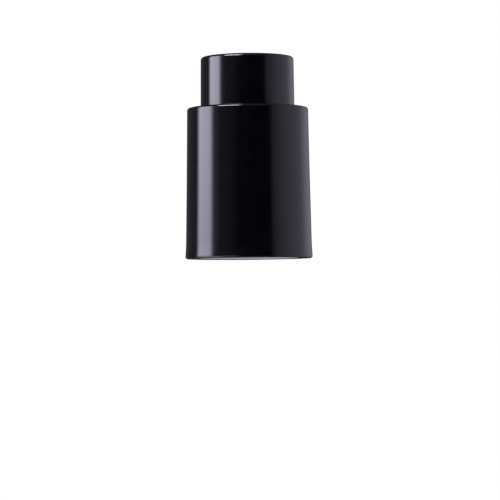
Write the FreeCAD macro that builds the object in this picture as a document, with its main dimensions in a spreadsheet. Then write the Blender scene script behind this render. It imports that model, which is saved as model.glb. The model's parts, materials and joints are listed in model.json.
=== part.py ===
# Press-button stopper that seals a bottle and pumps the air out of it.
# Millimetres. +Z is up along the common axis, and z = 0 is the rim of the outer shell.
import FreeCAD, Part
import math
import os
from types import SimpleNamespace

import Sketcher
from FreeCAD import Vector

NODES_FOLDER = "parts"
EDGE_FLAT_COUNT = 3  # flats that make up the rounding of a visible upper edge
RIM_FLAT_COUNT = 2  # flats that make up the rounding of the rim
WIRE_FLAT_COUNT = 6  # flats round the spring's wire

# Driving dimensions: name in the sheet, millimetres (or a count), and what it is.
SIZES = (
    ("bottle_ring_radius", 15.0, "ring of the bottle's neck, which the stopper goes over"),
    ("bottle_mouth_radius", 9.25, "bore of the bottle's mouth"),
    ("bottle_seat_height", 16.0, "rim to the face that meets the bottle's lip"),
    ("travel", 14.0, "stroke of the button"),
    ("rim_wall", 2.35, "shell's wall where the flare of the rim starts"),
    ("rim_flare", 0.25, "how far the rim flares out from there"),
    ("rim_flare_height", 4.5, "height over which the rim flares out"),
    ("rim_fillet", 0.8, "rounding of the rim's outer edge"),
    ("shell_waist", 0.06, "how far the shell's side is drawn in between its ends"),
    ("shell_wall", 2.0, "side wall of the shell at its top"),
    ("shell_top_thickness", 2.2, "top plate of the shell"),
    ("shell_top_fillet", 0.7, "rounding of the shell's upper edge"),
    ("collar_wall", 1.9, "wall of the guide collar under the top plate"),
    ("collar_length", 3.8, "guide collar below the top plate's underside"),
    ("collar_gap", 0.75, "guide collar to the shell's side wall"),
    ("hole_chamfer", 0.25, "broken edge of the hole in the top plate"),
    ("pressed_height", 4.6, "button above the shell's top face at full press"),
    ("button_gap", 1.15, "button's bore to the cap that it slides over"),
    ("button_draft", 0.2, "how much less the button's radius is at its top"),
    ("button_crown", 0.04, "how far the button's side swells between its ends"),
    ("button_wall", 1.8, "side wall of the button"),
    ("button_top_thickness", 2.0, "top plate of the button"),
    ("button_fillet", 0.8, "rounding of the button's upper edge"),
    ("button_clearance", 0.3, "gap all round between the button and its hole"),
    ("button_flange_width", 2.05, "stop flange outside the button's sleeve"),
    ("button_flange_thickness", 1.7, "height of the stop flange"),
    ("flange_overlap", 0.3, "stop flange's lower face below the cap's top at rest"),
    ("stop_gap", 0.3, "stop flange to the screw bosses at full press"),
    ("rest_gap", 0.1, "stop flange to the bumper at rest"),
    ("bumper_thickness", 1.0, "soft ring under the collar"),
    ("bumper_inset", 0.15, "bumper's edges inside those of the collar"),
    ("plug_flange_thickness", 2.0, "plug's flange over the bottle's lip"),
    ("plug_flange_clearance", 0.4, "gap between the plug's flange and the sleeve"),
    ("core_gap", 1.25, "plug between its sealing ribs to the bottle's mouth"),
    ("rib_squeeze", 0.55, "how much more a sealing rib's radius is than the mouth's"),
    ("plug_rib_count", 3, "sealing ribs on the plug"),
    ("plug_rib_height", 1.6, "one sealing rib at its root"),
    ("plug_bottom", 1.5, "rim to the plug's lower end"),
    ("plug_lead_in", 0.8, "chamfer that leads the plug into the bottle's mouth"),
    ("sleeve_recess", 0.2, "inner sleeve's lower end above the rim"),
    ("sleeve_lead_in", 0.5, "chamfer that leads the sleeve over the bottle's ring"),
    ("ring_room", 1.3, "inner sleeve to the bottle's ring"),
    ("sleeve_wall", 2.0, "wall of the inner sleeve"),
    ("sleeve_flange_thickness", 2.6, "mounting flange of the inner sleeve"),
    ("sleeve_gap", 2.1, "inner sleeve to the edge of its own flange"),
    ("sleeve_clearance", 0.2, "inner sleeve and pump flange to the shell"),
    ("fin_count", 6, "centring fins on the inner sleeve"),
    ("fin_thickness", 1.4, "one centring fin"),
    ("fin_bottom", 3.0, "rim to the fins' lower ends"),
    ("pump_inset", 3.5, "outside of the pump cylinder inside the sleeve's bore"),
    ("pump_wall", 1.8, "wall of the pump cylinder"),
    ("pump_floor", 2.0, "floor and mounting flange of the pump cylinder"),
    ("plug_wall", 2.45, "wall of the plug round the spigot that carries it"),
    ("spigot_wall", 1.5, "wall of that spigot round its air way"),
    ("spigot_bottom", 3.0, "rim to the spigot's lower end"),
    ("soft_fit", 0.05, "gap between a soft part and what it sits on"),
    ("inlet_hole_radius", 0.75, "inlet holes in the cylinder's floor"),
    ("inlet_hole_inset", 1.1, "inlet holes' centres inside the air way's wall"),
    ("valve_hole_count", 4, "holes under each valve"),
    ("umbrella_overlap", 0.95, "inlet valve's disc beyond its holes"),
    ("umbrella_height", 1.4, "inlet valve above the floor"),
    ("umbrella_edge", 0.5, "inlet valve's disc at its edge"),
    ("valve_stem_radius", 1.0, "inlet valve's stem"),
    ("valve_bulb_radius", 1.5, "bulb that holds the inlet valve's stem"),
    ("valve_bulb_height", 1.2, "height of that bulb"),
    ("stem_clearance", 0.1, "inlet valve's stem in its hole"),
    ("piston_floor_gap", 1.1, "piston to the inlet valve at full press"),
    ("piston_height", 5.0, "piston head"),
    ("piston_gap", 0.4, "piston head to the bore"),
    ("seal_height", 2.0, "groove of the piston's seal"),
    ("seal_depth", 1.6, "depth of that groove"),
    ("seal_clearance", 0.05, "seal to the bore and to its groove"),
    ("seal_waist", 0.45, "hollow between the seal's two lips"),
    ("rod_radius", 3.0, "piston rod"),
    ("rod_clearance", 0.1, "piston rod in its guide"),
    ("rod_chamfer", 0.5, "lead-in at the rod's upper end"),
    ("outlet_hole_radius", 0.8, "outlet holes in the piston"),
    ("outlet_valve_overlap", 0.9, "outlet valve's disc beyond its holes"),
    ("outlet_valve_thickness", 0.6, "outlet valve's disc"),
    ("valve_lift", 0.5, "room above the outlet valve at rest"),
    ("guide_length", 2.4, "rod guide below the cap's plate"),
    ("guide_wall", 2.1, "wall of the rod guide"),
    ("cap_thickness", 1.5, "cap's plate"),
    ("cap_wall", 1.3, "cap's skirt round the cylinder"),
    ("cap_skirt", 4.0, "cap's skirt below its plate"),
    ("cap_clearance", 0.1, "cap's skirt to the cylinder"),
    ("vent_radius", 0.9, "vents in the cap"),
    ("vent_count", 4, "vents in the cap"),
    ("spring_seat_height", 1.2, "ring that centres the spring"),
    ("spring_seat_wall", 1.2, "wall of that ring"),
    ("spring_seat_gap", 0.3, "that ring to the spring"),
    ("spring_radius", 7.0, "mean radius of the return spring"),
    ("spring_wire_radius", 0.5, "spring wire"),
    ("spring_turns", 4.5, "turns of the return spring"),
    ("socket_radius", 4.5, "button's socket for the rod"),
    ("socket_gap", 1.5, "that socket to the cap at full press"),
    ("socket_floor", 2.0, "solid stretch above the socket's bore"),
    ("socket_clearance", 0.03, "rod in the button's socket"),
    ("rod_end_gap", 0.2, "rod's end to the bottom of its socket"),
    ("screw_count", 3, "screws through the pump's flange"),
    ("screw_inset", 2.9, "screws' centres inside the edge of the pump's flange"),
    ("screw_shank_radius", 1.1, "screw's shank"),
    ("screw_head_radius", 2.0, "screw's countersunk head"),
    ("screw_head_height", 1.2, "screw's countersunk head"),
    ("screw_length", 9.0, "screw with its head"),
    ("screw_clearance", 0.05, "screw to the hole in its boss"),
    ("screw_way", 0.25, "screw to the hole in the pump's flange"),
    ("recess_width", 0.6, "slot of the screw's cross recess"),
    ("recess_length", 2.0, "that slot's length"),
    ("recess_depth", 0.7, "that slot's depth"),
    ("boss_radius", 2.5, "screw boss inside the shell"),
    ("boss_web", 2.0, "web between a boss and the wall"),
    ("boss_hole_spare", 1.0, "hole beyond the screw's end"),
)


class Size:
    """A length with the sheet expression that yields it."""

    def __init__(self, value, text):
        self.value = value
        self.text = text

    def __add__(self, other):
        return joined(self, "+", other, self.value + number(other))

    def __sub__(self, other):
        return joined(self, "-", other, self.value - number(other))

    def __mul__(self, other):
        return joined(self, "*", other, self.value * number(other))

    def __truediv__(self, other):
        return joined(self, "/", other, self.value / number(other))


def number(item):
    return item.value if isinstance(item, Size) else float(item)


def joined(first, sign, second, value):
    text = second.text if isinstance(second, Size) else str(second)
    return Size(value, f"({first.text} {sign} {text})")


def make_sheet(doc):
    """The sheet of driving dimensions, and the same values as Size objects."""
    sheet = doc.addObject("Spreadsheet::Sheet", "Sizes")
    for row, (name, value, meaning) in enumerate(SIZES, start=1):
        sheet.set(f"A{row}", meaning)
        sheet.set(f"B{row}", str(value))
        sheet.setAlias(f"B{row}", name)
    doc.recompute()
    return SimpleNamespace(**{name: Size(float(value), f"Sizes.{name}") for name, value, _ in SIZES})


def origin_feature(body, role):
    return next(item for item in body.Origin.OriginFeatures if item.Role == role)


def sketch_on(body, name, role, height=None):
    """A sketch on one of the body's origin planes, lifted to a height where one is given."""
    sketch = body.newObject("Sketcher::SketchObject", name)
    sketch.AttachmentSupport = [(origin_feature(body, role), "")]
    sketch.MapMode = "FlatFace"
    if height is not None:
        sketch.AttachmentOffset = FreeCAD.Placement(Vector(0, 0, height.value), FreeCAD.Rotation())
        sketch.setExpression("AttachmentOffset.Base.z", height.text)
    return sketch


def pin_point(sketch, edge, end, across, up):
    """Tie one end of a sketch edge to sheet values; a bare 0 puts it on that axis."""
    for kind, axis, value in (("DistanceX", -2, across), ("DistanceY", -1, up)):
        if isinstance(value, Size):
            place = sketch.addConstraint(Sketcher.Constraint(kind, -1, 1, edge, end, value.value))
            sketch.setExpression(f"Constraints[{place}]", value.text)
        else:
            sketch.addConstraint(Sketcher.Constraint("PointOnObject", edge, end, axis))


def draw_outline(sketch, points):
    """A closed outline through points tied to the sheet.

    A point is (across, up), or (across, up, bow) where the edge that follows it is an arc that
    stands out to its right by bow, which is negative for an arc that stands out to its left.
    """
    flat = [Vector(number(point[0]), number(point[1]), 0) for point in points]
    ends = []
    for index, point in enumerate(points):
        start, finish = flat[index], flat[(index + 1) % len(points)]
        if len(point) == 2:
            edge = sketch.addGeometry(Part.LineSegment(start, finish))
            ends.append((edge, 1, 2))
            continue
        across, up, bow = point
        next_across, next_up = points[(index + 1) % len(points)][:2]
        chord = finish - start
        right = Vector(chord.y, -chord.x, 0).normalize()
        edge = sketch.addGeometry(Part.Arc(start, (start + finish) / 2 + right * bow.value, finish))
        first, second = sketch.getPoint(edge, 1), sketch.getPoint(edge, 2)
        forward = first.distanceToPoint(start) < second.distanceToPoint(start)
        ends.append((edge, 1, 2) if forward else (edge, 2, 1))
        run, rise = next_across - across, next_up - up
        size = bow if bow.value > 0 else bow * -1
        radius = (run * run + rise * rise) / (size * 8) + size / 2
        place = sketch.addConstraint(Sketcher.Constraint("Radius", edge, radius.value))
        sketch.setExpression(f"Constraints[{place}]", radius.text)
    for index, (edge, _, finish) in enumerate(ends):
        following, start, _ = ends[(index + 1) % len(ends)]
        sketch.addConstraint(Sketcher.Constraint("Coincident", edge, finish, following, start))
    for (edge, start, _), point in zip(ends, points):
        pin_point(sketch, edge, start, point[0], point[1])


def rounded(radius, height, amount, flats, upper=True):
    """Points of a small quarter round at an outer corner, upward along the side, as a few flats."""
    points = []
    for index in range(flats + 1):
        angle = math.radians(90.0 * index / flats)
        inset = amount * (1 - math.cos(angle))
        drop = amount * (1 - math.sin(angle))
        points.append((radius - inset, height - drop) if upper else (radius - drop, height + inset))
    return points


def draw_circle(sketch, across, radius, up=0):
    """A circle with its centre and radius tied to the sheet."""
    centre = Vector(number(across), number(up), 0)
    edge = sketch.addGeometry(Part.Circle(centre, Vector(0, 0, 1), radius.value))
    pin_point(sketch, edge, 3, across, up)
    place = sketch.addConstraint(Sketcher.Constraint("Radius", edge, radius.value))
    sketch.setExpression(f"Constraints[{place}]", radius.text)


def make_body(doc, label):
    body = doc.addObject("PartDesign::Body", label)
    body.Label = label
    return body


def turned(doc, label, points):
    """A body turned from a half outline of (radius, height) points about +Z."""
    body = make_body(doc, label)
    sketch = sketch_on(body, f"{label}_outline", "XZ_Plane")
    draw_outline(sketch, points)
    feature = body.newObject("PartDesign::Revolution", f"{label}_turned")
    feature.Profile = sketch
    feature.ReferenceAxis = (sketch, ["V_Axis"])
    doc.recompute()
    return body


def pad(body, name, sketch, length):
    feature = body.newObject("PartDesign::Pad", name)
    feature.Profile = sketch
    feature.Length = length.value
    feature.setExpression("Length", length.text)
    return feature


def pocket(body, name, sketch, depth, upward=True):
    """A cut from the sketch's plane, upward or downward."""
    feature = body.newObject("PartDesign::Pocket", name)
    feature.Profile = sketch
    feature.Reversed = upward
    feature.Length = depth.value
    feature.setExpression("Length", depth.text)
    return feature


def around_axis(body, name, features, count):
    """Repeat features round +Z and make the result the body's tip."""
    pattern = body.newObject("PartDesign::PolarPattern", name)
    pattern.Originals = features
    pattern.Axis = (origin_feature(body, "Z_Axis"), [""])
    pattern.Angle = 360
    pattern.setExpression("Occurrences", count.text)
    body.Tip = pattern
    body.Document.recompute()
    return pattern


def hole_circle(body, name, start, depth, circle, radius, count):
    """Round holes upward from a height, spaced on a circle."""
    sketch = sketch_on(body, f"{name}_outline", "XY_Plane", start)
    draw_circle(sketch, circle, radius)
    cut = pocket(body, f"{name}_cut", sketch, depth)
    around_axis(body, name, [cut], count)


def ring_edge(body, radius, height):
    """The name of the circular edge with this radius at this height."""
    near = 1e-4
    for index, edge in enumerate(body.Shape.Edges, start=1):
        curve = edge.Curve
        if not isinstance(curve, Part.Circle):
            continue
        centred = abs(curve.Center.x) < near and abs(curve.Center.y) < near
        if centred and abs(curve.Radius - radius.value) < near and abs(curve.Center.z - height.value) < near:
            return f"Edge{index}"
    raise ValueError(f"{body.Label} has no ring edge of radius {radius.value} at {height.value}")


def dress(body, kind, name, ring, amount):
    """A PartDesign Fillet or Chamfer on one ring edge, given as (radius, height)."""
    base = body.Tip
    edge = ring_edge(body, *ring)
    feature = body.newObject(f"PartDesign::{kind}", name)
    feature.Base = (base, [edge])
    where = "Radius" if kind == "Fillet" else "Size"
    setattr(feature, where, amount.value)
    feature.setExpression(where, amount.text)
    body.Tip = feature
    body.Document.recompute()


doc = FreeCAD.newDocument("stopper")
s = make_sheet(doc)
ZERO = Size(0.0, "0")

# Heights of the pump, from the rim up.
plug_top = s.bottle_seat_height + s.plug_flange_thickness
floor_top = plug_top + s.pump_floor
piston_bottom = floor_top + s.umbrella_height + s.piston_floor_gap + s.travel
piston_top = piston_bottom + s.piston_height
guide_bottom = piston_top + s.outlet_valve_thickness + s.valve_lift
pump_top = guide_bottom + s.guide_length
cap_top = pump_top + s.cap_thickness

# Heights of the shell and the button, from the pump's cap up.
flange_bottom = cap_top - s.flange_overlap
flange_top = flange_bottom + s.button_flange_thickness
boss_top = flange_bottom - s.travel - s.stop_gap
bumper_bottom = flange_top + s.rest_gap
collar_bottom = bumper_bottom + s.bumper_thickness
plate_underside = collar_bottom + s.collar_length
shell_height = plate_underside + s.shell_top_thickness
socket_bottom = cap_top + s.socket_gap + s.travel
button_top = shell_height + s.pressed_height + s.travel
button_underside = button_top - s.button_top_thickness
socket_end = button_underside - s.socket_floor
rod_end = socket_end - s.rod_end_gap

# Radii of the lower end, from the bottle's neck outward.
sleeve_bore = s.bottle_ring_radius + s.ring_room
sleeve_radius = sleeve_bore + s.sleeve_wall
seat_radius = sleeve_radius + s.sleeve_gap
screw_circle = seat_radius - s.screw_inset
lower_bore = seat_radius + s.sleeve_clearance
base_radius = lower_bore + s.rim_wall

# Radii of the upper end, from the pump outward.
pump_radius = sleeve_bore - s.pump_inset
pump_bore = pump_radius - s.pump_wall
cap_bore = pump_radius + s.cap_clearance
cap_radius = cap_bore + s.cap_wall
button_bore = cap_radius + s.button_gap
button_radius = button_bore + s.button_wall
hole_radius = button_radius + s.button_clearance
collar_radius = hole_radius + s.collar_wall
shell_bore = collar_radius + s.collar_gap
shell_top_radius = shell_bore + s.shell_wall

# Radii inside the pump and the plug.
piston_radius = pump_bore - s.piston_gap
groove_radius = piston_radius - s.seal_depth
outlet_hole_circle = (s.rod_radius + groove_radius) / 2
rod_guide_bore = s.rod_radius + s.rod_clearance
spring_reach = s.spring_radius + s.spring_wire_radius
vent_circle = (spring_reach + pump_bore) / 2
core_radius = s.bottle_mouth_radius - s.core_gap
spigot_radius = core_radius - s.plug_wall - s.soft_fit
air_way_radius = spigot_radius - s.spigot_wall
inlet_hole_circle = air_way_radius - s.inlet_hole_inset


def make_outer_shell():
    """Tapered shell, open below, with a guide collar, a shoulder and screw bosses inside."""
    side_start = (base_radius, s.rim_flare_height, s.shell_waist * -1)
    top_edge = rounded(shell_top_radius, shell_height, s.shell_top_fillet, EDGE_FLAT_COUNT)
    rim_edge = rounded(base_radius + s.rim_flare, ZERO, s.rim_fillet, RIM_FLAT_COUNT, upper=False)
    body = turned(doc, "outer_shell", [
        (lower_bore, 0),
        (rim_edge[0][0], 0),
        *rim_edge[1:],
        side_start,
        *top_edge,
        (hole_radius, shell_height),
        (hole_radius, collar_bottom),
        (collar_radius, collar_bottom),
        (collar_radius, plate_underside),
        (shell_bore, plate_underside),
        (shell_bore, floor_top),
        (lower_bore, floor_top),
    ])
    dress(body, "Chamfer", "shell_hole_edge", (hole_radius, shell_height), s.hole_chamfer)

    boss_height = boss_top - floor_top
    sketch = sketch_on(body, "boss_outline", "XY_Plane", floor_top)
    draw_circle(sketch, screw_circle, s.boss_radius)
    boss = pad(body, "boss", sketch, boss_height)
    sketch = sketch_on(body, "boss_web_outline", "XY_Plane", floor_top)
    web_end = shell_bore + s.shell_wall / 2
    half_web = s.boss_web / 2
    draw_outline(sketch, [
        (screw_circle, half_web * -1),
        (web_end, half_web * -1),
        (web_end, half_web),
        (screw_circle, half_web),
    ])
    web = pad(body, "boss_web", sketch, boss_height)
    around_axis(body, "bosses", [boss, web], s.screw_count)
    depth = s.screw_length - s.pump_floor + s.boss_hole_spare
    hole = s.screw_shank_radius + s.screw_clearance
    hole_circle(body, "boss_holes", floor_top, depth, screw_circle, hole, s.screw_count)
    return body


def make_button_bumper():
    """Soft ring under the shell's collar."""
    return turned(doc, "button_bumper", [
        (hole_radius + s.bumper_inset, bumper_bottom),
        (collar_radius - s.bumper_inset, bumper_bottom),
        (collar_radius - s.bumper_inset, collar_bottom),
        (hole_radius + s.bumper_inset, collar_bottom),
    ])


def make_press_button():
    """Cup with a stop flange at its lower end and a socket for the rod."""
    flange_radius = button_radius + s.button_flange_width
    socket_bore = s.rod_radius + s.socket_clearance
    return turned(doc, "press_button", [
        (0, socket_end),
        (socket_bore, socket_end),
        (socket_bore, socket_bottom),
        (s.socket_radius, socket_bottom),
        (s.socket_radius, button_underside),
        (button_bore, button_underside),
        (button_bore, flange_bottom),
        (flange_radius, flange_bottom),
        (flange_radius, flange_top),
        (button_radius, flange_top, s.button_crown),
        *rounded(button_radius - s.button_draft, button_top, s.button_fillet, EDGE_FLAT_COUNT),
        (0, button_top),
    ])


def make_inner_sleeve():
    """Tube round the bottle's ring, with a flange bonded in the shell and centring fins."""
    flange_bottom_height = plug_top - s.sleeve_flange_thickness
    body = turned(doc, "inner_sleeve", [
        (sleeve_bore + s.sleeve_lead_in, s.sleeve_recess),
        (sleeve_radius, s.sleeve_recess),
        (sleeve_radius, flange_bottom_height),
        (seat_radius, flange_bottom_height),
        (seat_radius, plug_top),
        (sleeve_bore, plug_top),
        (sleeve_bore, s.sleeve_recess + s.sleeve_lead_in),
    ])
    sketch = sketch_on(body, "fin_outline", "XY_Plane", s.fin_bottom)
    half_fin = s.fin_thickness / 2
    fin_root = sleeve_radius - s.sleeve_wall / 2
    draw_outline(sketch, [
        (fin_root, half_fin * -1),
        (seat_radius, half_fin * -1),
        (seat_radius, half_fin),
        (fin_root, half_fin),
    ])
    fin = pad(body, "fin", sketch, flange_bottom_height - s.fin_bottom)
    around_axis(body, "fins", [fin], s.fin_count)
    return body


def make_bottle_plug():
    """Soft plug with sealing ribs and a flange that covers the bottle's lip."""
    outer = [
        (core_radius - s.plug_lead_in, s.plug_bottom),
        (core_radius, s.plug_bottom + s.plug_lead_in),
    ]
    rib_radius = s.bottle_mouth_radius + s.rib_squeeze
    rib_pitch = (s.bottle_seat_height - s.plug_bottom) / s.plug_rib_count
    for index in range(int(s.plug_rib_count.value)):
        root = s.plug_bottom + rib_pitch * (index + 0.5) - s.plug_rib_height / 2
        outer += [
            (core_radius, root),
            (rib_radius, root + s.plug_rib_height),
            (core_radius, root + s.plug_rib_height),
        ]
    flange_radius = sleeve_bore - s.plug_flange_clearance
    bore = spigot_radius + s.soft_fit
    return turned(doc, "bottle_plug", outer + [
        (core_radius, s.bottle_seat_height),
        (flange_radius, s.bottle_seat_height),
        (flange_radius, plug_top),
        (bore, plug_top),
        (bore, s.spigot_bottom),
        (air_way_radius, s.spigot_bottom),
        (air_way_radius, s.plug_bottom),
    ])


def make_pump_cylinder():
    """Cylinder with a floor, a mounting flange and a spigot below for the plug."""
    stem_hole = s.valve_stem_radius + s.stem_clearance
    body = turned(doc, "pump_cylinder", [
        (air_way_radius, s.spigot_bottom),
        (spigot_radius, s.spigot_bottom),
        (spigot_radius, plug_top),
        (seat_radius, plug_top),
        (seat_radius, floor_top),
        (pump_radius, floor_top),
        (pump_radius, pump_top),
        (pump_bore, pump_top),
        (pump_bore, floor_top),
        (stem_hole, floor_top),
        (stem_hole, plug_top),
        (air_way_radius, plug_top),
    ])
    hole_circle(body, "inlet_holes", plug_top, s.pump_floor, inlet_hole_circle,
                s.inlet_hole_radius, s.valve_hole_count)
    screw_hole = s.screw_shank_radius + s.screw_way
    hole_circle(body, "screw_ways", plug_top, s.pump_floor, screw_circle, screw_hole, s.screw_count)
    sink = body.newObject("PartDesign::Groove", "countersink")
    sketch = sketch_on(body, "countersink_outline", "XZ_Plane")
    head = s.screw_head_radius + s.screw_way
    draw_outline(sketch, [
        (screw_circle, plug_top),
        (screw_circle + head, plug_top),
        (screw_circle + screw_hole, plug_top + s.screw_head_height),
        (screw_circle, plug_top + s.screw_head_height),
    ])
    sink.Profile = sketch
    sink.ReferenceAxis = (sketch, ["Edge4"])
    around_axis(body, "countersinks", [sink], s.screw_count)
    return body


def make_cylinder_cap():
    """Vented cap that guides the rod and centres the spring."""
    guide_radius = rod_guide_bore + s.guide_wall
    ring_radius = s.spring_radius - s.spring_wire_radius - s.spring_seat_gap
    body = turned(doc, "cylinder_cap", [
        (rod_guide_bore, guide_bottom),
        (guide_radius, guide_bottom),
        (guide_radius, pump_top),
        (cap_bore, pump_top),
        (cap_bore, pump_top - s.cap_skirt),
        (cap_radius, pump_top - s.cap_skirt),
        (cap_radius, cap_top),
        (ring_radius, cap_top),
        (ring_radius, cap_top + s.spring_seat_height),
        (ring_radius - s.spring_seat_wall, cap_top + s.spring_seat_height),
        (ring_radius - s.spring_seat_wall, cap_top),
        (rod_guide_bore, cap_top),
    ])
    hole_circle(body, "vents", pump_top, s.cap_thickness, vent_circle, s.vent_radius, s.vent_count)
    return body


def make_inlet_valve():
    """Umbrella valve whose stem is held by a bulb under the cylinder's floor."""
    bulb_bottom = plug_top - s.valve_bulb_height
    disc_radius = inlet_hole_circle + s.inlet_hole_radius + s.umbrella_overlap
    return turned(doc, "inlet_valve", [
        (0, bulb_bottom),
        (s.valve_stem_radius, bulb_bottom),
        (s.valve_bulb_radius, plug_top),
        (s.valve_stem_radius, plug_top),
        (s.valve_stem_radius, floor_top),
        (disc_radius, floor_top),
        (disc_radius, floor_top + s.umbrella_edge),
        (s.valve_stem_radius, floor_top + s.umbrella_height),
        (0, floor_top + s.umbrella_height),
    ])


def make_piston_rod():
    """Rod with a drilled piston head at its lower end."""
    groove_bottom = piston_bottom + (s.piston_height - s.seal_height) / 2
    body = turned(doc, "piston_rod", [
        (0, piston_bottom),
        (piston_radius, piston_bottom),
        (piston_radius, groove_bottom),
        (groove_radius, groove_bottom),
        (groove_radius, groove_bottom + s.seal_height),
        (piston_radius, groove_bottom + s.seal_height),
        (piston_radius, piston_top),
        (s.rod_radius, piston_top),
        (s.rod_radius, rod_end - s.rod_chamfer),
        (s.rod_radius - s.rod_chamfer, rod_end),
        (0, rod_end),
    ])
    hole_circle(body, "outlet_holes", piston_bottom, s.piston_height, outlet_hole_circle,
                s.outlet_hole_radius, s.valve_hole_count)
    return body


def make_piston_seal():
    """Soft ring with two lips that run on the cylinder's bore."""
    low = piston_bottom + (s.piston_height - s.seal_height) / 2 + s.seal_clearance
    high = low + s.seal_height - s.seal_clearance * 2
    inner = groove_radius + s.seal_clearance
    lip = pump_bore - s.seal_clearance
    waist = lip - s.seal_waist
    return turned(doc, "piston_seal", [
        (inner, low),
        (lip, low),
        (waist, (low + high) / 2),
        (lip, high),
        (inner, high),
    ])


def make_outlet_valve():
    """Soft disc that lies on the piston's holes."""
    bore = s.rod_radius + s.soft_fit
    disc_radius = outlet_hole_circle + s.outlet_hole_radius + s.outlet_valve_overlap
    return turned(doc, "outlet_valve", [
        (bore, piston_top),
        (disc_radius, piston_top),
        (disc_radius, piston_top + s.outlet_valve_thickness),
        (bore, piston_top + s.outlet_valve_thickness),
    ])


def make_return_spring():
    """Open coil spring with ends ground flat, from the cap to the button's underside."""
    length = button_underside - cap_top
    pitch = length / s.spring_turns
    body = make_body(doc, "return_spring")
    sketch = sketch_on(body, "wire_outline", "XZ_Plane")
    draw_outline(sketch, [
        (s.spring_radius + s.spring_wire_radius * math.cos(angle),
         cap_top + s.spring_wire_radius * math.sin(angle))
        for angle in (math.radians(360.0 * index / WIRE_FLAT_COUNT) for index in range(WIRE_FLAT_COUNT))
    ])
    coil = body.newObject("PartDesign::AdditiveHelix", "coil")
    coil.Profile = sketch
    coil.ReferenceAxis = (sketch, ["V_Axis"])
    coil.Mode = "height-turns-growth"
    coil.Growth = 0
    coil.setExpression("Height", length.text)
    coil.setExpression("Turns", s.spring_turns.text)
    doc.recompute()
    for name, height, upward in (("upper_end", button_underside, True), ("lower_end", cap_top, False)):
        sketch = sketch_on(body, f"{name}_outline", "XY_Plane", height)
        draw_circle(sketch, 0, spring_reach + s.spring_wire_radius)
        pocket(body, name, sketch, pitch, upward)
    doc.recompute()
    return body


def make_cylinder_screws():
    """Countersunk screws that hold the cylinder's flange to the shell's bosses."""
    body = make_body(doc, "cylinder_screws")
    shank = screw_circle + s.screw_shank_radius
    tip = plug_top + s.screw_length
    sketch = sketch_on(body, "screw_outline", "XZ_Plane")
    draw_outline(sketch, [
        (screw_circle, plug_top),
        (screw_circle + s.screw_head_radius, plug_top),
        (shank, plug_top + s.screw_head_height),
        (shank, tip),
        (screw_circle, tip),
    ])
    screw = body.newObject("PartDesign::Revolution", "screw")
    screw.Profile = sketch
    screw.ReferenceAxis = (sketch, ["Edge5"])
    doc.recompute()
    long_half = s.recess_length / 2
    short_half = s.recess_width / 2
    slots = []
    for name, across, along in (("slot", long_half, short_half), ("cross_slot", short_half, long_half)):
        sketch = sketch_on(body, f"{name}_outline", "XY_Plane", plug_top)
        draw_outline(sketch, [
            (screw_circle - across, along * -1),
            (screw_circle + across, along * -1),
            (screw_circle + across, along),
            (screw_circle - across, along),
        ])
        slots.append(pocket(body, name, sketch, s.recess_depth))
    around_axis(body, "screws", [screw] + slots, s.screw_count)
    return body


def check_document():
    for item in doc.Objects:
        if {"Invalid", "Error"} & set(item.State):
            raise RuntimeError(f"{item.Name} failed: {item.State}")


def export(bodies):
    """Check each sub-part's solids and write one STEP file for each."""
    os.makedirs(NODES_FOLDER, exist_ok=True)
    for body in bodies:
        shape = body.Shape
        if shape.isNull() or not shape.isValid() or not shape.Solids:
            raise RuntimeError(f"{body.Label} has no valid solid")
        print(body.Label, len(shape.Solids), "solids,", round(shape.Volume, 1), "mm3")
    for body in bodies:
        body.Shape.exportStep(os.path.join(NODES_FOLDER, f"{body.Label}.step"))


sub_parts = [
    make_outer_shell(),
    make_button_bumper(),
    make_press_button(),
    make_inner_sleeve(),
    make_bottle_plug(),
    make_pump_cylinder(),
    make_cylinder_cap(),
    make_inlet_valve(),
    make_piston_rod(),
    make_piston_seal(),
    make_outlet_valve(),
    make_return_spring(),
    make_cylinder_screws(),
]
doc.recompute()
check_document()
export(sub_parts)
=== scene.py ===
import functools
import json
import math

import bmesh
import bpy
import numpy as np
from mathutils import Matrix, Vector
from mathutils.bvhtree import BVHTree


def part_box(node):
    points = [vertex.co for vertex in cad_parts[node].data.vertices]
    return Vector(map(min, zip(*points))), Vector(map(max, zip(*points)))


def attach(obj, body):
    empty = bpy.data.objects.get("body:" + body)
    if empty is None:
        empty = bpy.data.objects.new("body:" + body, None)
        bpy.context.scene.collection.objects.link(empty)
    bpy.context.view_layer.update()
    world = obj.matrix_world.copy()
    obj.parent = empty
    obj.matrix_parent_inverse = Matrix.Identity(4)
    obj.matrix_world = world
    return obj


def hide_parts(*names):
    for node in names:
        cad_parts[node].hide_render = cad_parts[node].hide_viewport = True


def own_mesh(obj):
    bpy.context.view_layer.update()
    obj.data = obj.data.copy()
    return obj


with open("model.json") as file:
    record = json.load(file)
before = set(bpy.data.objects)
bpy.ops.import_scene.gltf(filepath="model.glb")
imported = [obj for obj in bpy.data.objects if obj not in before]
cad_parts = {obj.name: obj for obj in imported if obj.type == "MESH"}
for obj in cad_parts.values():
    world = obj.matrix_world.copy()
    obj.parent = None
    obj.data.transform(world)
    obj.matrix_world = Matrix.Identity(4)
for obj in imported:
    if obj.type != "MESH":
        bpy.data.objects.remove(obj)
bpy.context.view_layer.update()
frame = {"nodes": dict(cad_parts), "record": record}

# Press-button bottle stopper. Metres, +Z up along the common axis, z = 0 on the shell's rim.
MM = 0.001

# Camera of the photograph, found from the outlines of both tiers.
CAMERA_DISTANCE = 0.903
CAMERA_SIDE = 0.37 * MM
CAMERA_HEIGHT = -18 * MM
AIM_HEIGHT = 3.15 * MM
CAMERA_ROLL = 0.0101
CAMERA_LENS = 178.3
SENSOR_WIDTH = 36.0

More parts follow.
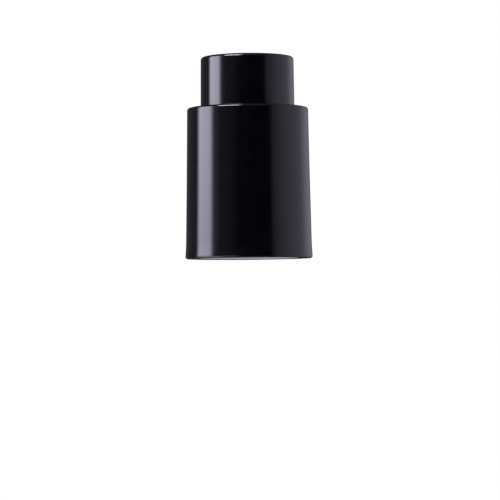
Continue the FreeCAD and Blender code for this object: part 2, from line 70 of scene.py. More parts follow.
# Roundings and swells that the moulded pieces have over their plain outlines.
RIM_ROUND = 0.8 * MM
FLARE_TOP = 5.5 * MM
FLARE_CURVE = 1.5
SHELL_EDGE_ROUND = 0.85 * MM
HOLE_ROUND = 0.25 * MM
BUTTON_EDGE_ROUND = 1.0 * MM
SMALL_ROUND = 0.3 * MM
SOFT_ROUND = 0.4 * MM

# Marks a corner that is a point of a smooth curve.
SOFT = "soft"

# A sealing rib of the plug, from its middle: half its height, where its crest is, and the crest's fall.
RIB_HALF = 0.8 * MM
RIB_CREST = 0.5 * MM
RIB_FALL = 0.1 * MM

# Repeated features inside the shell and on the sleeve.
SCREW_COUNT = 3
BOSS_WEB = 2.0 * MM
FIN_COUNT = 6
FIN_THICKNESS = 1.4 * MM

# The spring's coil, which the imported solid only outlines.
SPRING_TURNS = 6.0
CLOSED_TURNS = 0.75

# Fineness of the meshes.
RING_SEGMENTS = 256
SMALL_SEGMENTS = 96
BOSS_SEGMENTS = 64
ROUND_STEPS = 10
SIDE_STEPS = 24
TURN_STEPS = 48
WIRE_SIDES = 12

# Light of the room in reflections: compass angle from the front and elevation of an axis, the shares
# along that axis at which the light starts and is full, and its radiance there.
ROOM_LIGHT = (
    (105.0, 0.0, 0.40, 0.60, 0.31),
    (105.0, 0.0, 0.55, 0.97, 0.35),
    (138.0, 0.0, 0.90, 1.00, 0.14),
    (-120.0, 0.0, 0.30, 0.85, 0.10),
    (-75.0, 0.0, 0.93, 1.00, 0.30),
    (-60.0, 0.0, 0.70, 1.00, 0.11),
    (-42.0, -30.0, 0.90, 1.00, 1.5),
    (-92.0, -35.0, 0.85, 1.00, 3.0),
    (0.0, -90.0, 0.40, 1.00, 0.25),
    (-8.0, 60.0, 0.55, 0.97, 0.30),
)
ROOM_COLOUR = (0.97, 0.95, 1.17, 1.0)

# Even light of the world on colours.
WHITE = (1.0, 1.0, 1.0, 1.0)
DIFFUSE_LEVEL = 0.5

# Panels of light: width and height, radiance, and the shares of both sides over which the edges fade.
LAMP_COLOUR = (0.96, 0.94, 1.16)
STRIP_PLACE = (-0.5, -0.0245, 0.12)
STRIP_SIZE = (0.42, 0.38)
STRIP_RADIANCE = 6.9
STRIP_SOFT = (0.286, 0.1)
FRONT_LAMP_AIM = (0.0, 0.0, 0.06)
FRONT_LAMP_TOWARD = (-40.0, 36.0)
FRONT_LAMP_DISTANCE = 0.9
FRONT_LAMP_SIZE = (0.76, 0.46)
FRONT_LAMP_RADIANCE = 20.0
FRONT_LAMP_SOFT = (0.2, 0.2)
KEY_AIM = (0.0, 0.0, 0.04)
KEY_TOWARD = (-40.0, 50.0)
KEY_SIZE = (0.4, 0.4)
KEY_RADIANCE = 11.0
KEY_SOFT = (0.1, 0.1)

# The strip grows dimmer towards its lower end: shares of its height, and the level there.
STRIP_FOOT = (0.11, 0.58)
STRIP_FOOT_LEVEL = 0.65

# Floor: its reach, colour and glow, and the distances at which it starts to fade and is plain white.
FLOOR_REACH = 3.0
FLOOR_COLOUR = (0.7, 0.7, 0.7, 1.0)
FLOOR_GLOW = 0.62
FLOOR_LIT = 0.15
FLOOR_WHITE = 0.6

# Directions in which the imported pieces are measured: clear of fins, bosses and holes, and through one.
PLAIN_SIDE = math.radians(-90.0)
FEATURE_SIDE = 0.0


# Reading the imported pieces.

@functools.cache
def search_tree(node):
    """A search tree over a CAD node's triangles."""
    mesh = frame["nodes"][node].data
    mesh.calc_loop_triangles()
    triangles = [tuple(triangle.vertices) for triangle in mesh.loop_triangles]
    return BVHTree.FromPolygons([vertex.co for vertex in mesh.vertices], triangles)


def hits(node, origin, direction):
    """Distances along a ray at which it crosses the surface of a CAD node."""
    step = 1e-6
    search = search_tree(node)
    found = []
    travelled = 0.0
    while True:
        point, _, _, distance = search.ray_cast(origin + direction * travelled, direction)
        if point is None:
            return found
        travelled += distance
        if not found or travelled - found[-1] > 2 * step:
            found.append(travelled)
        travelled += step


def crossings(node, height, azimuth=PLAIN_SIDE):
    """Radii at which a level ray from the axis crosses a CAD node."""
    outward = Vector((math.cos(azimuth), math.sin(azimuth), 0.0))
    return hits(node, Vector((0.0, 0.0, height)), outward)


def levels(node, radius, azimuth=PLAIN_SIDE):
    """Heights at which an upright line at a radius crosses a CAD node."""
    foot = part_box(node)[0].z - MM
    start = Vector((radius * math.cos(azimuth), radius * math.sin(azimuth), foot))
    return [foot + distance for distance in hits(node, start, Vector((0.0, 0.0, 1.0)))]


# Turned forms.

def rounded(corners):
    """Outline points (radius, height, normal) from corners (radius, height[, rounding]).

    A rounded corner becomes an arc with its own exact normals, and a SOFT corner a point of a
    smooth curve.
    """
    points = []
    for index, corner in enumerate(corners):
        here = Vector(corner[:2])
        if len(corner) == 2:
            points.append((here.x, here.y, None))
            continue
        if corner[2] == SOFT:
            points.append((here.x, here.y, SOFT))
            continue
        back = (Vector(corners[index - 1][:2]) - here).normalized()
        ahead = (Vector(corners[(index + 1) % len(corners)][:2]) - here).normalized()
        half = back.angle(ahead) / 2
        centre = here + (back + ahead).normalized() * corner[2] / math.sin(half)
        start = here + back * corner[2] / math.tan(half) - centre
        turn = math.pi - 2 * half
        outward = 1.0 if back.x * ahead.y - back.y * ahead.x < 0 else -1.0
        for step in range(ROUND_STEPS + 1):
            spoke = Matrix.Rotation(outward * turn * step / ROUND_STEPS, 2) @ start
            place = centre + spoke
            normal = spoke.normalized() * outward
            points.append((place.x, place.y, (normal.x, normal.y)))
    return points


def edge_normal(start, end):
    """The outward normal of an outline's edge."""
    run, rise = end[0] - start[0], end[1] - start[1]
    length = math.hypot(run, rise)
    return rise / length, -run / length


def corner_normal(point, before, after, own):
    """The normal that an edge shows at one of its ends."""
    if point[2] is None:
        return own
    if point[2] == SOFT:
        return before[0] + after[0], before[1] + after[1]
    return point[2]


def new_object(name, mesh):
    """An object in the scene with a mesh."""
    obj = bpy.data.objects.new(name, mesh)
    bpy.context.scene.collection.objects.link(obj)
    return obj


def lathe(name, corners, segments=RING_SEGMENTS, centre=(0.0, 0.0)):
    """A closed form turned about an upright axis from outline corners that run anticlockwise."""
    points = rounded(corners)
    angles = [2 * math.pi * index / segments for index in range(segments)]
    spokes = [(math.cos(angle), math.sin(angle)) for angle in angles]
    vertices, rings = [], []
    for radius, height, _ in points:
        if radius < 1e-7:
            rings.append([len(vertices)] * segments)
            vertices.append((centre[0], centre[1], height))
            continue
        rings.append(list(range(len(vertices), len(vertices) + segments)))
        vertices += [(centre[0] + radius * x, centre[1] + radius * y, height) for x, y in spokes]
    total = len(points)
    edges = [edge_normal(points[index], points[(index + 1) % total]) for index in range(total)]
    faces, normals = [], []
    for index in range(total):
        following = (index + 1) % total
        lower, upper = rings[index], rings[following]
        if lower[0] == lower[-1] and upper[0] == upper[-1]:
            continue
        low = corner_normal(points[index], edges[index - 1], edges[index], edges[index])
        high = corner_normal(points[following], edges[index], edges[following], edges[index])
        for turn in range(segments):
            beside = (turn + 1) % segments
            loop = [(lower[turn], low, turn), (lower[beside], low, beside),
                    (upper[beside], high, beside), (upper[turn], high, turn)]
            if lower[0] == lower[-1]:
                loop.pop(1)
            elif upper[0] == upper[-1]:
                loop.pop(2)
            faces.append([vertex for vertex, _, _ in loop])
            for _, (across, up), spoke in loop:
                x, y = spokes[spoke]
                normals.append(Vector((across * x, across * y, up)).normalized())
    return solid(name, vertices, faces, normals)


def solid(name, vertices, faces, normals):
    """An object with a normal for each corner of its faces, kept so that a union carries them over."""
    mesh = bpy.data.meshes.new(name)
    mesh.from_pydata(vertices, [], faces)
    kept = mesh.attributes.new("exact_normal", "FLOAT_VECTOR", "CORNER")
    kept.data.foreach_set("vector", [number for normal in normals for number in normal])
    return new_object(name, mesh)


def upright(name, outline, low, high, turn=0.0):
    """A straight-sided solid over an anticlockwise outline, turned about the axis."""
    spin = Matrix.Rotation(turn, 3, "Z")
    count = len(outline)
    vertices = [spin @ Vector((x, y, z)) for z in (low, high) for x, y in outline]
    faces = [tuple(reversed(range(count))), tuple(range(count, 2 * count))]
    for side in range(count):
        beside = (side + 1) % count
        faces.append((side, beside, count + beside, count + side))
    normals = []
    for face in faces:
        first, second, third = (vertices[corner] for corner in face[:3])
        normals += [(second - first).cross(third - first).normalized()] * len(face)
    return solid(name, vertices, faces, normals)


def settle(obj, *added):
    """Join solids to an object as one closed surface, and give it its exact normals."""
    for other in added:
        union = obj.modifiers.new("union", "BOOLEAN")
        union.operation = "UNION"
        union.solver = "EXACT"
        union.object = other
    if added:
        evaluated = obj.evaluated_get(bpy.context.evaluated_depsgraph_get())
        whole = bpy.data.meshes.new_from_object(evaluated)
        obj.modifiers.clear()
        obj.data = whole
        whole.name = obj.name
        for other in added:
            bpy.data.objects.remove(other)
    mesh = obj.data
    numbers = np.empty(3 * len(mesh.loops), dtype=np.float32)
    mesh.attributes["exact_normal"].data.foreach_get("vector", numbers)
    normals = numbers.reshape(-1, 3)
    normals /= np.linalg.norm(normals, axis=1, keepdims=True)
    mesh.attributes.remove(mesh.attributes["exact_normal"])
    mesh.polygons.foreach_set("use_smooth", [True] * len(mesh.polygons))
    mesh.normals_split_custom_set(normals)
    mesh.update()
    return obj


# Materials.

def shader(name, **settings):
    """A Principled material with constants on its sockets, and its node tree for more."""
    material = bpy.data.materials.new(name)
    material.use_nodes = True
    surface = material.node_tree.nodes["Principled BSDF"]
    for socket, value in settings.items():
        surface.inputs[socket.replace("_", " ")].default_value = value
    return material, material.node_tree, surface


def noise(tree, scale, detail=2.0, stretch=(1.0, 1.0, 1.0)):
    """Noise in the object's own coordinates, scale in repeats per metre."""
    place = tree.nodes.new("ShaderNodeTexCoord")
    shape = tree.nodes.new("ShaderNodeMapping")
    shape.inputs["Scale"].default_value = stretch
    texture = tree.nodes.new("ShaderNodeTexNoise")
    texture.inputs["Scale"].default_value = scale
    texture.inputs["Detail"].default_value = detail
    tree.links.new(place.outputs["Object"], shape.inputs["Vector"])
    tree.links.new(shape.outputs["Vector"], texture.inputs["Vector"])
    return texture.outputs["Fac"]


def spread(tree, factor, low, high):
    """Map noise, which stays near its middle, to a range of values."""
    ramp = tree.nodes.new("ShaderNodeMapRange")
    ramp.inputs["From Min"].default_value = 0.3
    ramp.inputs["From Max"].default_value = 0.7
    ramp.inputs["To Min"].default_value = low
    ramp.inputs["To Max"].default_value = high
    tree.links.new(factor, ramp.inputs["Value"])
    return ramp.outputs["Result"]


def blend_colours(tree, factor, first, second):
    """A colour between two by a factor."""
    mix = tree.nodes.new("ShaderNodeMix")
    mix.data_type = "RGBA"
    mix.inputs["A"].default_value = (*first, 1.0)
    mix.inputs["B"].default_value = (*second, 1.0)
    tree.links.new(factor, mix.inputs["Factor"])
    return mix.outputs["Result"]


def bump(tree, surface, height, depth):
    """Relief of a real depth in metres."""
    relief = tree.nodes.new("ShaderNodeBump")
    relief.inputs["Distance"].default_value = depth
    tree.links.new(height, relief.inputs["Height"])
    tree.links.new(relief.outputs["Normal"], surface.inputs["Normal"])


def gloss_black():
    """Polished black moulding, with the faint waviness of a moulded skin."""
    material, tree, surface = shader("gloss_black", IOR=1.5)
    patches = noise(tree, 260.0, 3.0)
    colour = blend_colours(tree, spread(tree, patches, 0.0, 1.0),
                           (0.0016, 0.0015, 0.0028), (0.0030, 0.0028, 0.0044))
    tree.links.new(colour, surface.inputs["Base Color"])
    tree.links.new(spread(tree, noise(tree, 420.0, 4.0), 0.09, 0.12), surface.inputs["Roughness"])
    bump(tree, surface, noise(tree, 340.0, 1.0), 0.006 * MM)
    return material


def satin(name, first, second, roughness):
    """Satin moulding with slightly cloudy colour."""
    material, tree, surface = shader(name, IOR=1.5)
    colour = blend_colours(tree, spread(tree, noise(tree, 180.0, 3.0), 0.0, 1.0), first, second)
    tree.links.new(colour, surface.inputs["Base Color"])
    tree.links.new(spread(tree, noise(tree, 900.0, 3.0), roughness - 0.05, roughness + 0.05),
                   surface.inputs["Roughness"])
    bump(tree, surface, noise(tree, 2400.0, 3.0), 0.01 * MM)
    return material


def silicone():
    """Soft matt silicone with a fine grain and a trace of dust."""
    material, tree, surface = shader("dark_silicone", IOR=1.41)
    colour = blend_colours(tree, spread(tree, noise(tree, 700.0, 5.0), 0.0, 1.0),
                           (0.020, 0.020, 0.022), (0.045, 0.045, 0.048))
    tree.links.new(colour, surface.inputs["Base Color"])
    tree.links.new(spread(tree, noise(tree, 1500.0, 3.0), 0.5, 0.68), surface.inputs["Roughness"])
    bump(tree, surface, noise(tree, 5000.0, 4.0), 0.012 * MM)
    return material


def steel():
    """Bright drawn steel with fine lines."""
    material, tree, surface = shader("spring_steel", Metallic=1.0)
    lines = noise(tree, 1500.0, 3.0, stretch=(1.0, 1.0, 6.0))
    colour = blend_colours(tree, spread(tree, lines, 0.0, 1.0), (0.52, 0.52, 0.53), (0.68, 0.68, 0.69))
    tree.links.new(colour, surface.inputs["Base Color"])
    tree.links.new(spread(tree, lines, 0.22, 0.38), surface.inputs["Roughness"])
    bump(tree, surface, lines, 0.005 * MM)
    return material


MATERIALS = {
    "gloss_black": gloss_black(),
    "light_liner": satin("light_liner", (0.56, 0.58, 0.66), (0.64, 0.66, 0.73), 0.42),
    "pump_plastic": satin("pump_plastic", (0.68, 0.68, 0.66), (0.74, 0.74, 0.72), 0.5),
    "dark_silicone": silicone(),
    "spring_steel": steel(),
}


def finish_piece(obj, body, slot, *replaced):
    """Material, body and CAD nodes of one piece of the scene."""
    obj.data.materials.append(MATERIALS[slot])
    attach(obj, body)
    if replaced:
        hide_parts(*replaced)


# The pieces.

def make_shell():
    """Tapered shell with a softly flared rim, a guide collar and an inner shoulder."""
    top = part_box("outer_shell")[1].z
    rim_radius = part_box("outer_shell")[1].x
    bore = crossings("outer_shell", RIM_ROUND)[0]
    foot, middle, head = FLARE_TOP, top / 2, top - 2 * SHELL_EDGE_ROUND
    radii = [crossings("outer_shell", height)[-1] for height in (foot, middle, head)]
    curve = np.polyfit((foot, middle, head), radii, 2)
    collar_bottom, collar_high = levels("outer_shell", crossings("outer_shell", top - MM)[0] + MM)[:2]
    hole, collar, wall_bore = crossings("outer_shell", collar_bottom + MM)[:3]
    underside = levels("outer_shell", (collar + wall_bore) / 2)[0]
    shoulder = levels("outer_shell", (wall_bore + bore) / 2)[0]
    flare = rim_radius - np.polyval(curve, RIM_ROUND)

    def side(height):
        """The shell's radius at a height, with the flare of its rim."""
        share = min(1.0, max(0.0, (FLARE_TOP - height) / (FLARE_TOP - RIM_ROUND)))
        return np.polyval(curve, height) + flare * share ** FLARE_CURVE

    corners = [(bore, 0.0, SMALL_ROUND), (rim_radius, 0.0, RIM_ROUND)]
    for step in range(1, SIDE_STEPS):
        height = RIM_ROUND + (FLARE_TOP - RIM_ROUND) * step / SIDE_STEPS
        corners.append((side(height), height, SOFT))
    for step in range(SIDE_STEPS):
        height = FLARE_TOP + (head - FLARE_TOP) * step / (SIDE_STEPS - 1)
        corners.append((side(height), height, SOFT))
    corners += [
        (np.polyval(curve, top), top, SHELL_EDGE_ROUND),
        (hole, top, HOLE_ROUND),
        (hole, collar_bottom),
        (collar, collar_bottom),
        (collar, underside),
        (wall_bore, underside),
        (wall_bore, shoulder),
        (bore, shoulder),
    ]
    shell = settle(lathe("shell_moulding", corners), *screw_bosses(shoulder, (wall_bore + rim_radius) / 2))
    finish_piece(shell, "stopper", "gloss_black", "outer_shell")


def screw_bosses(shoulder, wall_middle):
    """The drilled bosses inside the shell, from its shoulder up, and their webs to its wall."""
    near, hole_start, hole_end = crossings("outer_shell", shoulder + MM, FEATURE_SIDE)[:3]
    circle, drill = (hole_start + hole_end) / 2, (hole_end - hole_start) / 2
    radius = circle - near
    foot, head = levels("outer_shell", circle - (drill + radius) / 2, FEATURE_SIDE)[:2]
    drill_end = levels("outer_shell", circle, FEATURE_SIDE)[0]
    corners = [
        (drill, foot),
        (radius, foot),
        (radius, head, SMALL_ROUND),
        (0.0, head),
        (0.0, drill_end),
        (drill, drill_end),
    ]
    half = BOSS_WEB / 2
    start = circle + math.sqrt(radius ** 2 - half ** 2) - SMALL_ROUND
    web = [(start, -half), (wall_middle, -half), (wall_middle, half), (start, half)]
    pieces = []
    for index in range(SCREW_COUNT):
        turn = 2 * math.pi * index / SCREW_COUNT
        place = (circle * math.cos(turn), circle * math.sin(turn))
        pieces.append(lathe("boss", corners, BOSS_SEGMENTS, place))
        pieces.append(upright("boss_web", web, foot, head, turn))
    return pieces


def make_sleeve():
    """Pale tube with a lead-in, a flange and centring fins."""
    low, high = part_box("inner_sleeve")
    middle = (low.z + high.z) / 2
    bore, radius = crossings("inner_sleeve", middle)[:2]
    mouth = crossings("inner_sleeve", low.z + 0.01 * MM)[0]
    flange = high.x
    flange_low = levels("inner_sleeve", (radius + flange) / 2)[0]
    fin_low = levels("inner_sleeve", (radius + flange) / 2, FEATURE_SIDE)[0]
    corners = [
        (mouth, low.z, SMALL_ROUND),
        (radius, low.z, SMALL_ROUND),
        (radius, flange_low, SMALL_ROUND),
        (flange, flange_low),
        (flange, high.z),
        (bore, high.z),
        (bore, low.z + mouth - bore, SMALL_ROUND),
    ]
    half = FIN_THICKNESS / 2
    outer = math.sqrt(flange ** 2 - half ** 2)
    inner = (bore + radius) / 2
    fin = [(inner, -half), (outer, -half), (outer, half), (inner, half)]
    overlap = (high.z - flange_low) / 2
    fins = [upright("fin", fin, fin_low, flange_low + overlap, 2 * math.pi * index / FIN_COUNT)
            for index in range(FIN_COUNT)]
    sleeve = settle(lathe("sleeve_moulding", corners), *fins)
    finish_piece(sleeve, "stopper", "light_liner", "inner_sleeve")


def make_button():
    """Button with a rounded top edge, a stop flange and the rod's socket inside."""
    low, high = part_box("press_button")
    inner = crossings("press_button", low.z + 5 * MM)[0]
    flange_radius = high.x
    flange_top = levels("press_button", flange_radius - 0.5 * MM)[-1]
    socket_bore, socket = crossings("press_button", high.z - 5 * MM)[:2]
    socket_bottom = levels("press_button", (socket_bore + socket) / 2)[0]
    socket_end = levels("press_button", socket_bore / 2)[0]
    underside = levels("press_button", (socket + inner) / 2)[0]
    foot, middle, head = flange_top + MM, (flange_top + high.z) / 2, high.z - 2 * BUTTON_EDGE_ROUND
    radii = [crossings("press_button", height)[-1] for height in (foot, middle, head)]
    curve = np.polyfit((foot, middle, head), radii, 2)
    corners = [
        (0.0, socket_end),
        (socket_bore, socket_end),
        (socket_bore, socket_bottom),
        (socket, socket_bottom),
        (socket, underside),
        (inner, underside),
        (inner, low.z),
        (flange_radius, low.z, SMALL_ROUND),
        (flange_radius, flange_top, SMALL_ROUND),
        (np.polyval(curve, flange_top), flange_top),
    ]
    for step in range(SIDE_STEPS):
        height = foot + (head - foot) * step / (SIDE_STEPS - 1)
        corners.append((np.polyval(curve, height), height, SOFT))
    corners += [
        (np.polyval(curve, high.z), high.z, BUTTON_EDGE_ROUND),
        (0.0, high.z),
    ]
    button = settle(lathe("button_moulding", corners))
    finish_piece(button, "plunger", "gloss_black", "press_button")


def make_plug():
    """Soft plug with rounded sealing ribs and a flange for the bottle's lip."""
    low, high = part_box("bottle_plug")
    flange = high.x
    seat = levels("bottle_plug", flange - MM)[0]
    bore = crossings("bottle_plug", (seat + high.z) / 2)[0]
    air_way, core = crossings("bottle_plug", low.z + MM)[:2]
    ledge = levels("bottle_plug", (air_way + bore) / 2)[1]
    rib = max(crossings("bottle_plug", low.z + step * 0.1 * MM)[-1] for step in range(5, 100))
    rib_count = len(levels("bottle_plug", (core + rib) / 2)[:-2]) // 2
    pitch = (seat - low.z) / rib_count
    corners = [(air_way, low.z, SOFT_ROUND), (core, low.z, 2 * SOFT_ROUND)]
    for index in range(rib_count):
        middle = low.z + pitch * (index + 0.5)
        corners += [
            (core, middle - RIB_HALF, SOFT_ROUND),
            (rib, middle + RIB_CREST, SMALL_ROUND),
            (rib - RIB_FALL, middle + RIB_HALF, RIB_FALL),
            (core, middle + RIB_HALF, SOFT_ROUND / 2),
        ]
    corners += [
        (core, seat, SOFT_ROUND),
        (flange, seat, SOFT_ROUND),
        (flange, high.z, SOFT_ROUND),
        (bore, high.z),
        (bore, ledge),
        (air_way, ledge),
    ]
    plug = settle(lathe("plug_moulding", corners))
    finish_piece(plug, "stopper", "dark_silicone", "bottle_plug")


def make_bumper():
    """Soft ring with rounded edges under the shell's collar."""
    low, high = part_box("button_bumper")
    inner, outer = crossings("button_bumper", (low.z + high.z) / 2)[:2]
    bumper = settle(lathe("bumper_ring", [
        (inner, low.z, SMALL_ROUND),
        (outer, low.z, SMALL_ROUND),
        (outer, high.z, SMALL_ROUND),
        (inner, high.z, SMALL_ROUND),
    ]))
    finish_piece(bumper, "stopper", "dark_silicone", "button_bumper")


def make_inlet_valve():
    """Umbrella valve with a domed disc and a bulb below the floor."""
    low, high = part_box("inlet_valve")
    seat = levels("inlet_valve", high.x - SMALL_ROUND)[0]
    stem = crossings("inlet_valve", low.z + 0.01 * MM)[0]
    stem_low = levels("inlet_valve", stem + SMALL_ROUND)[1]
    bulb = crossings("inlet_valve", stem_low - 0.01 * MM)[0]
    rim_high = levels("inlet_valve", high.x - 0.01 * MM)[-1]
    valve = settle(lathe("inlet_umbrella", [
        (0.0, low.z),
        (stem, low.z, SMALL_ROUND),
        (bulb, stem_low, SMALL_ROUND / 2),
        (stem, stem_low),
        (stem, seat),
        (high.x, seat, SMALL_ROUND / 3),
        (high.x, rim_high, SMALL_ROUND),
        (stem, high.z, 2 * SMALL_ROUND),
        (0.0, high.z),
    ], SMALL_SEGMENTS))
    finish_piece(valve, "stopper", "dark_silicone", "inlet_valve")


def make_outlet_valve():
    """Soft disc with rounded edges on the piston's holes."""
    low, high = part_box("outlet_valve")
    bore = crossings("outlet_valve", (low.z + high.z) / 2)[0]
    valve = settle(lathe("outlet_disc", [
        (bore, low.z),
        (high.x, low.z, SMALL_ROUND / 2),
        (high.x, high.z, SMALL_ROUND / 2),
        (bore, high.z, SMALL_ROUND / 2),
    ], SMALL_SEGMENTS))
    finish_piece(valve, "plunger", "dark_silicone", "outlet_valve")


def make_piston_seal():
    """Soft ring whose two lips meet in a hollow."""
    low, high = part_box("piston_seal")
    middle = (low.z + high.z) / 2
    inner, waist = crossings("piston_seal", middle)[:2]
    seal = settle(lathe("piston_lip_ring", [
        (inner, low.z, SMALL_ROUND / 2),
        (high.x, low.z, SMALL_ROUND / 3),
        (waist, middle, 2 * SMALL_ROUND),
        (high.x, high.z, SMALL_ROUND / 3),
        (inner, high.z, SMALL_ROUND / 2),
    ], SMALL_SEGMENTS))
    finish_piece(seal, "plunger", "dark_silicone", "piston_seal")


def make_spring():
    """Round-wire compression spring with closed ends that are ground flat."""
    low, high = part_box("return_spring")
    radii = [vertex.co.xy.length for vertex in frame["nodes"]["return_spring"].data.vertices]
    wire = (max(radii) - min(radii)) / 2
    mean = (max(radii) + min(radii)) / 2
    length = high.z - low.z
    open_turns = SPRING_TURNS - 2 * CLOSED_TURNS
    closed_rise = 2 * wire * CLOSED_TURNS
    open_rise = length - wire - 2 * closed_rise
    steps = int(SPRING_TURNS * TURN_STEPS)
    vertices = []
    for step in range(steps + 1):
        turn = step / TURN_STEPS
        across, along = math.cos(2 * math.pi * turn), math.sin(2 * math.pi * turn)
        open_share = min(1.0, max(0.0, (turn - CLOSED_TURNS) / open_turns))
        closed = min(turn, CLOSED_TURNS) + max(0.0, turn - CLOSED_TURNS - open_turns)
        height = low.z + wire / 2 + 2 * wire * closed + open_rise * open_share
        for side in range(WIRE_SIDES):
            around = 2 * math.pi * side / WIRE_SIDES
            radius = mean + wire * math.cos(around)
            rise = min(high.z, max(low.z, height + wire * math.sin(around)))
            vertices.append((radius * across, radius * along, rise))
    faces = [tuple(range(WIRE_SIDES)), tuple(range(steps * WIRE_SIDES, (steps + 1) * WIRE_SIDES))]
    for step in range(steps):
        here, ahead = step * WIRE_SIDES, (step + 1) * WIRE_SIDES
        for side in range(WIRE_SIDES):
            beside = (side + 1) % WIRE_SIDES
            faces.append((here + side, here + beside, ahead + beside, ahead + side))
    mesh = bpy.data.meshes.new("spring_coil")
    mesh.from_pydata(vertices, [], faces)
    work = bmesh.new()
    work.from_mesh(mesh)
    bmesh.ops.recalc_face_normals(work, faces=work.faces)
    work.to_mesh(mesh)
    work.free()
    mesh.polygons.foreach_set("use_smooth", [True] * len(mesh.polygons))
    spring = new_object("spring_coil", mesh)
    finish_piece(spring, "stopper", "spring_steel", "return_spring")
    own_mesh(spring)


def dress_cad_nodes():
    """The CAD nodes that stay in view take their procedural materials."""
    slots = {part["node"]: part["material_slot"] for part in frame["record"]["subparts"]}
    for node, obj in frame["nodes"].items():
        obj.data.materials.clear()
        obj.data.materials.append(MATERIALS[slots[node]])


# Studio.

def make_floor():
    """Pale floor that only the camera sees, and only from above, with the object's shadow."""
    mesh = bpy.data.meshes.new("floor")
    signs = ((-1, -1), (1, -1), (1, 1), (-1, 1))
    mesh.from_pydata([(FLOOR_REACH * x, FLOOR_REACH * y, 0.0) for x, y in signs], [], [(0, 1, 2, 3)])
    floor = new_object("floor", mesh)
    material = bpy.data.materials.new("floor")
    material.use_nodes = True
    tree = material.node_tree
    tree.nodes.clear()
    plain = tree.nodes.new("ShaderNodeBsdfDiffuse")
    plain.inputs["Color"].default_value = FLOOR_COLOUR
    glow = tree.nodes.new("ShaderNodeEmission")
    glow.inputs["Strength"].default_value = FLOOR_GLOW
    lit = tree.nodes.new("ShaderNodeAddShader")
    tree.links.new(plain.outputs[0], lit.inputs[0])
    tree.links.new(glow.outputs[0], lit.inputs[1])
    distance = tree.nodes.new("ShaderNodeVectorMath")
    distance.operation = "LENGTH"
    tree.links.new(tree.nodes.new("ShaderNodeTexCoord").outputs["Object"], distance.inputs[0])
    fade = smooth_step(tree, distance.outputs["Value"], FLOOR_LIT, FLOOR_WHITE)
    faded = mix_shaders(tree, fade, lit, tree.nodes.new("ShaderNodeEmission"))
    camera_ray = tree.nodes.new("ShaderNodeLightPath").outputs["Is Camera Ray"]
    from_below = tree.nodes.new("ShaderNodeNewGeometry").outputs["Backfacing"]
    from_above = combine(tree, "SUBTRACT", camera_ray, from_below)
    from_above.node.use_clamp = True
    seen = mix_shaders(tree, from_above, tree.nodes.new("ShaderNodeBsdfTransparent"), faded)
    output = tree.nodes.new("ShaderNodeOutputMaterial")
    tree.links.new(seen.outputs[0], output.inputs["Surface"])
    mesh.materials.append(material)


def area_light(name, place, target, size, radiance, soft, dim_foot=False):
    """A panel that the camera doesn't see, facing its target, with edges that fade out."""
    width, height = size
    data = bpy.data.lights.new(name, "AREA")
    data.shape = "RECTANGLE"
    data.size = width
    data.size_y = height
    data.color = LAMP_COLOUR
    data.energy = radiance * width * height * math.pi
    data.use_nodes = True
    tree = data.node_tree
    spot = tree.nodes.new("ShaderNodeSeparateXYZ")
    tree.links.new(tree.nodes.new("ShaderNodeNewGeometry").outputs["Parametric"], spot.inputs[0])
    strength = 1.0
    for socket, share in zip(("X", "Y"), soft):
        from_edge = combine(tree, "PINGPONG", spot.outputs[socket], 0.5)
        strength = combine(tree, "MULTIPLY", smooth_step(tree, from_edge, 0.0, share), strength)
    if dim_foot:
        foot = smooth_step(tree, spot.outputs["Y"], *STRIP_FOOT, low=STRIP_FOOT_LEVEL)
        strength = combine(tree, "MULTIPLY", foot, strength)
    tree.links.new(strength, tree.nodes["Emission"].inputs["Strength"])
    panel = bpy.data.objects.new(name, data)
    bpy.context.scene.collection.objects.link(panel)
    panel.location = place
    panel.rotation_euler = (Vector(target) - Vector(place)).to_track_quat("-Z", "Y").to_euler()
    panel.visible_camera = False
    return panel


def toward(compass, elevation):
    """Direction at a compass angle from the front and an elevation, right being 90 degrees."""
    turn, rise = math.radians(compass), math.radians(elevation)
    return Vector((math.sin(turn) * math.cos(rise), -math.cos(turn) * math.cos(rise), math.sin(rise)))


def combine(tree, operation, first, second):
    """A Math node on two values, each a socket or a number."""
    node = tree.nodes.new("ShaderNodeMath")
    node.operation = operation
    for socket, item in zip(node.inputs, (first, second)):
        if isinstance(item, float):
            socket.default_value = item
        else:
            tree.links.new(item, socket)
    return node.outputs[0]


def mix_shaders(tree, factor, first, second):
    """A node that shows the first of two shader nodes, or the second where the factor is 1."""
    mix = tree.nodes.new("ShaderNodeMixShader")
    tree.links.new(factor, mix.inputs["Fac"])
    tree.links.new(first.outputs[0], mix.inputs[1])
    tree.links.new(second.outputs[0], mix.inputs[2])
    return mix


def smooth_step(tree, value, start, full, high=1.0, low=0.0):
    """A value that rises smoothly from low to high between two values of its input."""
    ramp = tree.nodes.new("ShaderNodeMapRange")
    ramp.interpolation_type = "SMOOTHSTEP"
    ramp.inputs["From Min"].default_value = start
    ramp.inputs["From Max"].default_value = full
    ramp.inputs["To Min"].default_value = low
    ramp.inputs["To Max"].default_value = high
    tree.links.new(value, ramp.inputs["Value"])
    return ramp.outputs["Result"]


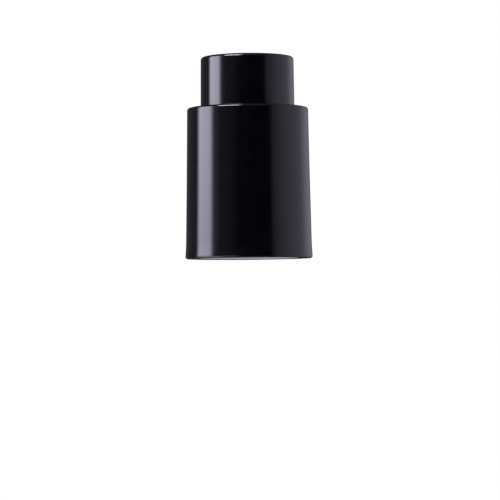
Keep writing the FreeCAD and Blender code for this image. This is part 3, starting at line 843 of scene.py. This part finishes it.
def make_world():
    """White to the camera, even on colours, and in reflections a dark room, paler on the right."""
    world = bpy.data.worlds.new("studio")
    bpy.context.scene.world = world
    world.use_nodes = True
    tree = world.node_tree
    backdrop = tree.nodes["Background"]
    backdrop.inputs["Color"].default_value = WHITE
    path = tree.nodes.new("ShaderNodeLightPath")
    direction = tree.nodes.new("ShaderNodeTexCoord").outputs["Generated"]
    light = None
    for compass, elevation, start, full, radiance in ROOM_LIGHT:
        share = tree.nodes.new("ShaderNodeVectorMath")
        share.operation = "DOT_PRODUCT"
        share.inputs[1].default_value = toward(compass, elevation)
        tree.links.new(direction, share.inputs[0])
        term = smooth_step(tree, share.outputs["Value"], start, full, high=radiance)
        light = term if light is None else combine(tree, "ADD", light, term)
    room = tree.nodes.new("ShaderNodeBackground")
    room.inputs["Color"].default_value = ROOM_COLOUR
    tree.links.new(light, room.inputs["Strength"])
    even = tree.nodes.new("ShaderNodeBackground")
    even.inputs["Color"].default_value = WHITE
    even.inputs["Strength"].default_value = DIFFUSE_LEVEL
    on_object = mix_shaders(tree, path.outputs["Is Diffuse Ray"], room, even)
    shown = mix_shaders(tree, path.outputs["Is Camera Ray"], on_object, backdrop)
    tree.links.new(shown.outputs[0], tree.nodes["World Output"].inputs["Surface"])


def make_lights():
    """A tall strip on the left and a lamp at the front left for gloss, and a white key for colours."""
    _, strip_y, strip_z = STRIP_PLACE
    strip = area_light("strip", STRIP_PLACE, (0.0, strip_y, strip_z),
                       STRIP_SIZE, STRIP_RADIANCE, STRIP_SOFT, dim_foot=True)
    lamp_place = Vector(FRONT_LAMP_AIM) + toward(*FRONT_LAMP_TOWARD) * FRONT_LAMP_DISTANCE
    lamp = area_light("front_lamp", lamp_place, FRONT_LAMP_AIM,
                      FRONT_LAMP_SIZE, FRONT_LAMP_RADIANCE, FRONT_LAMP_SOFT)
    for panel in (strip, lamp):
        panel.visible_diffuse = False
    key = area_light("key", toward(*KEY_TOWARD), KEY_AIM, KEY_SIZE, KEY_RADIANCE, KEY_SOFT)
    key.data.color = WHITE[:3]
    key.visible_glossy = False


def make_camera():
    """The photograph's camera, level with a point under the rim and rolled a little."""
    data = bpy.data.cameras.new("camera")
    data.lens = CAMERA_LENS
    data.sensor_width = SENSOR_WIDTH
    camera = bpy.data.objects.new("camera", data)
    bpy.context.scene.collection.objects.link(camera)
    place = Vector((CAMERA_SIDE, -CAMERA_DISTANCE, CAMERA_HEIGHT))
    back = (place - Vector((CAMERA_SIDE, 0.0, AIM_HEIGHT))).normalized()
    right = Vector((math.sin(CAMERA_ROLL), 0.0, math.cos(CAMERA_ROLL))).cross(back).normalized()
    up = back.cross(right)
    camera.matrix_world = Matrix.Translation(place) @ Matrix((right, up, back)).transposed().to_4x4()
    bpy.context.scene.camera = camera


dress_cad_nodes()
make_shell()
make_button()
make_sleeve()
make_plug()
make_bumper()
make_inlet_valve()
make_outlet_valve()
make_piston_seal()
make_spring()
make_floor()
make_world()
make_lights()
make_camera()
bpy.context.scene.view_settings.view_transform = "Standard"
